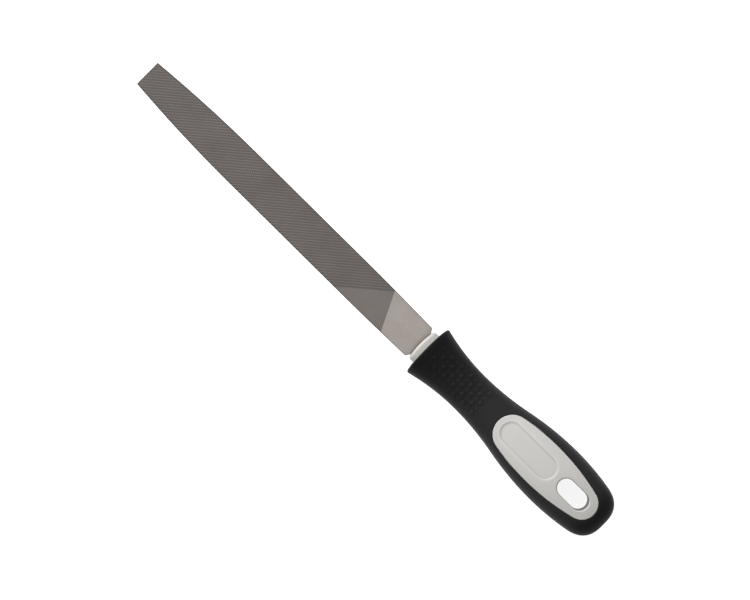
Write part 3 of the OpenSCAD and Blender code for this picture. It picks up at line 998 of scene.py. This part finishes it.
# %% [markdown]
# The collar is the front end of the same moulding. It stands out of the grip's front face and the heel of
# the blade butts against it. It is a loft of superellipses with a rounded rim and a crowned front, closed
# at both ends. It is painted a little darker than the panel, as shade.

# %% Collar of the core
COLLAR_RIM, COLLAR_RIM_STEPS, COLLAR_COUNT = 1.2, 8, 128
COLLAR_FACE_INSET = 2.5
COLLAR_BACK_GAP = 0.1
COLLAR_SHADE = 0.11


def collar_sheet():
    """Sections from inside the grip to the front: full size, a quarter-circle rim, then down to a point."""
    turn = np.linspace(0, np.pi / 2, COLLAR_RIM_STEPS)
    behind = GRIP_X - HOLE_DEPTH + COLLAR_BACK_GAP
    x = np.concatenate([[behind, behind], HEEL_X - COLLAR_RIM * (1 - np.sin(turn)), [HEEL_X, HEEL_X]])
    inset = np.concatenate([[0, 0], COLLAR_RIM * (1 - np.cos(turn)), [COLLAR_FACE_INSET, 0]])
    keep = np.concatenate([[0], np.ones(len(x) - 2), [0]])
    wide, thick = keep * (COLLAR_HALF[0] - inset), keep * (COLLAR_HALF[1] - inset)
    angle = np.linspace(0, 2 * np.pi, COLLAR_COUNT, endpoint=False)
    cosine, sine = np.cos(angle), np.sin(angle)
    y = wide[:, None] * np.sign(cosine) * np.abs(cosine) ** (2 / COLLAR_SQUARE)
    z = thick[:, None] * np.sign(sine) * np.abs(sine) ** (2 / COLLAR_SQUARE)
    crowned = np.concatenate([[0, 0], np.ones(len(x) - 2)])
    points = np.stack([x[:, None] - crowned[:, None] * heel_bow(y), y, AXIS_Z + z], axis=-1)
    return points.reshape(-1, 3), grid_faces(*y.shape, around=True)


collar_points, collar_faces = collar_sheet()
# The whole collar is painted a little darker, as shade.
collar_marks = {"painted_shade": np.full(len(collar_points), COLLAR_SHADE)}
collar = make_piece("collar", [(collar_points, collar_faces)], "handle_core",
                    MOULD_SHARP, collar_marks)

# %% [markdown]
# ## The finishes
# Every finish starts from Blender's Principled shader. What is the same all over the surface is set on the
# shader itself. What changes comes from noise on Object coordinates, which stays on the piece however it
# is turned, or from the marks that the points carry.

# %% Helpers for finishes


def new_finish(name, constants):
    """A material with one Principled shader, its even values set on the shader's own sockets."""
    material = bpy.data.materials.new(name)
    material.use_nodes = True
    graph = Nodes(material.node_tree)
    shader = material.node_tree.nodes["Principled BSDF"]
    graph.fill(shader, constants)
    return material, graph, shader


def noise(graph, cells, detail=2.0):
    """Noise on Object coordinates, with so many cells to the metre along each axis."""
    place = graph.node("ShaderNodeTexCoord", {}, {}, output="Object")
    stretched = graph.node("ShaderNodeMapping", {}, {"Vector": place, "Scale": cells})
    return graph.node("ShaderNodeTexNoise", {}, {"Vector": stretched, "Scale": 1.0, "Detail": detail})


def attribute(graph, name):
    """A mark that the points of the mesh carry."""
    return graph.node("ShaderNodeAttribute", {"attribute_name": name}, {}, output="Fac")


def bumped(graph, height, strength, depth):
    """The surface's normal, tilted by a height; depth is that of a full bump, in metres."""
    sockets = {"Strength": strength, "Distance": depth, "Height": height}
    return graph.node("ShaderNodeBump", {}, sockets)


# %% [markdown]
# The steel has three states. The bare heel is ground bright, with fine lines across it. The single cut is
# darker because its teeth throw the light about, and the double cut is darker still. Crests are lighter, a
# little worn, and the roots are painted darker, as shade in the notches. The margin of each face is painted
# darker too, as shade along the edge, and shows as a dark line. The blade's points carry all that as marks,
# so the colour follows the teeth exactly. Cloudy stains lie over the whole.

# %% Steel
GRIND_CELLS, STAIN_CELLS = (6000, 500, 500), (90, 90, 90)
MARGIN_SHARE = 0.65

steel, graph, shader = new_finish("file_steel", {"Metallic": 1.0})
first_cut, second_cut = attribute(graph, "first_cut"), attribute(graph, "second_cut")
tooth_depth, painted_edge_shade = attribute(graph, "tooth_depth"), attribute(graph, "painted_edge_shade")
grind, stain = noise(graph, GRIND_CELLS), noise(graph, STAIN_CELLS)
ground_steel = graph.mix(grind, srgb(145, 138, 133), srgb(169, 161, 155))
# Roots are painted darker than crests: painted shade in the notches, with a little wear on the crests.
single_steel = graph.mix(tooth_depth, srgb(116, 111, 108), srgb(107, 102, 99))
double_steel = graph.mix(tooth_depth, srgb(103, 98, 95), srgb(95, 91, 88))
cut_steel = graph.mix(second_cut, single_steel, double_steel)
base = graph.mix(first_cut, ground_steel, cut_steel)
# Painted shade: a dark line along the margin of each face.
base = graph.mix(painted_edge_shade * MARGIN_SHARE, base, srgb(62, 63, 67))
base = graph.mix(1.0, base, graph.mix(stain, grey(0.88), grey(1.1)), blend="MULTIPLY")
roughness = 0.36 + first_cut * 0.28 + grind * 0.06
normal = bumped(graph, grind, 0.25, 0.00002)
graph.fill(shader, {"Base Color": base, "Roughness": roughness, "Normal": normal})
blade.data.materials.append(steel)
print("steel finish has", len(steel.node_tree.nodes), "nodes")

# %% [markdown]
# The core is a hard light-grey plastic with a satin skin: the mould was lightly sparked, so the surface has
# a grain that is too fine to see but softens every reflection. Slow cloudy changes keep it from looking
# flat. The marks bring painted shade to the slot's wall, the collar and the root of the label field, and
# painted highlights along the brows of the edges.

# %% Core plastic
CLOUD_CELLS, SPARK_CELLS = (60, 60, 60), (3000, 3000, 3000)
LINE_SHARE = 0.6

plastic, graph, shader = new_finish("core_plastic", {"Specular IOR Level": 0.4})
cloud, grain = noise(graph, CLOUD_CELLS, detail=3.0), noise(graph, SPARK_CELLS)
base = graph.mix(cloud, srgb(204, 202, 198), srgb(211, 208, 205))
# Painted shade: the slot's wall and the collar are mixed towards this darker grey.
base = graph.mix(attribute(graph, "painted_shade"), base, srgb(120, 117, 113))
# Painted shade: a dark line at the root of the label field's step.
base = graph.mix(attribute(graph, "painted_root_shade") * LINE_SHARE, base, srgb(180, 177, 173))
# Painted highlight: light lines along the brows of the label's step and of the panel's edge.
base = graph.mix(attribute(graph, "painted_highlight") * LINE_SHARE, base, srgb(222, 219, 215))
normal = bumped(graph, grain, 0.2, 0.00003)
graph.fill(shader, {"Base Color": base, "Roughness": 0.42 + grain * 0.12, "Normal": normal})
panel.data.materials.append(plastic)
collar.data.materials.append(plastic)
print("plastic finish has", len(plastic.node_tree.nodes), "nodes")

# %% [markdown]
# The grip is a soft black plastic. It is matt and has a fine grain from the mould. Its black is painted
# lighter and greyer from the front towards the palm, and this stops before the butt: painted light, for how
# the slopes face the lamp. The moats round the pips are painted darker, as shade.

# %% Soft grip
DRIFT_CELLS, SKIN_CELLS = (45, 45, 45), (2600, 2600, 2600)
# Where the painted light grows and where it ends, in mm behind the grip's front.
LIGHT_GROWS, LIGHT_ENDS = (-4, 38), (95, 84)
MOAT_SHADE = 0.7

soft, graph, shader = new_finish("grip_soft", {"Specular IOR Level": 0.1})
drift, grain = noise(graph, DRIFT_CELLS, detail=4.0), noise(graph, SKIN_CELLS)
place = graph.node("ShaderNodeTexCoord", {}, {}, output="Object")
along_x = graph.node("ShaderNodeSeparateXYZ", {}, [place], output="X")


def lit_ramp(start, end):
    """Share that rises smoothly from 0 to 1 between two distances behind the grip's front."""
    sockets = {"Value": along_x, "From Min": (GRIP_X - start) * MM, "From Max": (GRIP_X - end) * MM}
    return graph.node("ShaderNodeMapRange", {"interpolation_type": "SMOOTHSTEP"}, sockets)


# Painted light: the black is lighter where the grip's slopes face the lamp, darker at the front and the
# butt.
lit_share = lit_ramp(*LIGHT_GROWS) * lit_ramp(*LIGHT_ENDS)
shaded_black = graph.mix(drift, srgb(6, 6, 6), srgb(12, 12, 12))
lit_black = graph.mix(drift, srgb(34, 34, 35), srgb(44, 44, 45))
# The moats round the pips are painted darker, as shade.
base = graph.mix(lit_share * (1 - attribute(graph, "moat") * MOAT_SHADE), shaded_black, lit_black)
normal = bumped(graph, grain, 0.35, 0.00006)
graph.fill(shader, {"Base Color": base, "Roughness": 0.52 + drift * 0.1, "Normal": normal})
grip.data.materials.append(soft)
print("grip finish has", len(soft.node_tree.nodes), "nodes")

# %% [markdown]
# Last, the view layer is updated.

# %% Finish
bpy.context.view_layer.update()
